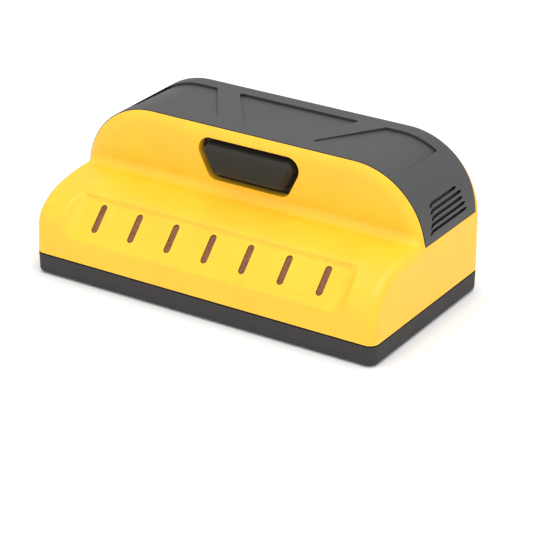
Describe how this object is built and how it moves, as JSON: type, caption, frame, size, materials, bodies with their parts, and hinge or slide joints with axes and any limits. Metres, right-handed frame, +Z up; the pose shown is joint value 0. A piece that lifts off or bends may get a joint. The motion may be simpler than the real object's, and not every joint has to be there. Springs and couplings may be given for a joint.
{
  "type": "stud finder",
  "caption": "Handheld stud finder: long yellow case on a dark glide base, lamp slots along a sloped panel, rounded hump with a dark cover and a push button.",
  "frame": {"origin": "middle of the footprint, on the surface that the base glides on", "axes": "+X along the length, -Y the lamp and button side, +Y the battery side, +Z up from the glide face"},
  "size_m": [0.178, 0.0934, 0.0721],
  "materials": {
    "yellow_case": "fine satin moulded",
    "dark_base": "satin",
    "dark_cover": "fine textured",
    "dark_trim": "satin",
    "button_rubber": "matt",
    "pad_grey": "felt",
    "red_lens": "translucent red",
    "led_resin": "clear resin",
    "board_green": "solder mask",
    "plate_copper": "etched copper",
    "black_package": "moulded",
    "red_plunger": "moulded",
    "can_aluminium": "drawn",
    "can_steel": "drawn",
    "socket_white": "moulded nylon",
    "ribbon_grey": "flat cable",
    "screw_steel": "zinc plated",
    "spring_steel": "nickel plated",
    "contact_metal": "nickel plated",
    "holder_black": "moulded",
    "cell_sleeve": "shrink sleeve",
    "red_insulation": "smooth",
    "black_insulation": "smooth"
  },
  "bodies": {
    "case": {"base_plate": "dark_base", "glide_pads": "pad_grey", "housing": "yellow_case", "top_cover": "dark_cover", "cover_clips": "spring_steel", "button_bezel": "dark_trim", "switch_body": "black_package", "switch_board": "board_green", "switch_screws": "screw_steel", "lamp_lens": "red_lens", "leds": "led_resin", "lamp_board": "board_green", "lamp_board_screws": "screw_steel", "ribbon_cable": "ribbon_grey", "sensor_board": "board_green", "sensor_plates": "plate_copper", "control_chips": "black_package", "capacitors": "can_aluminium", "crystal": "can_steel", "buzzer": "black_package", "board_sockets": "socket_white", "board_screws": "screw_steel", "case_screws": "screw_steel", "battery_holder": "holder_black", "battery_lower": "cell_sleeve", "battery_upper": "cell_sleeve", "battery_springs": "spring_steel", "battery_contacts": "contact_metal", "lead_red": "red_insulation", "lead_black": "black_insulation", "button_springs": "spring_steel"},
    "button": {"button_key": "button_rubber"},
    "plunger": {"switch_plunger": "red_plunger"},
    "door": {"battery_door": "dark_trim"}
  },
  "joints": [
    {"name": "button_press", "type": "slide", "parent": "case", "child": "button", "axis": [0, 1, 0], "range_m": [0, 0.0012], "stiffness_N_per_m": 1200, "springref_m": -0.0012, "deforming": ["button_springs"]},
    {"name": "plunger_press", "type": "slide", "parent": "case", "child": "plunger", "axis": [0, 1, 0], "range_m": [0, 0.0012]},
    {"name": "door_open", "type": "hinge", "parent": "case", "child": "door", "pos_m": [0, 0.0457, 0.0175], "axis": [-1, 0, 0], "range_deg": [0, 75]}
  ],
  "couplings": [
    {"joint": "plunger_press", "follows": "button_press", "ratio": 1}
  ]
}
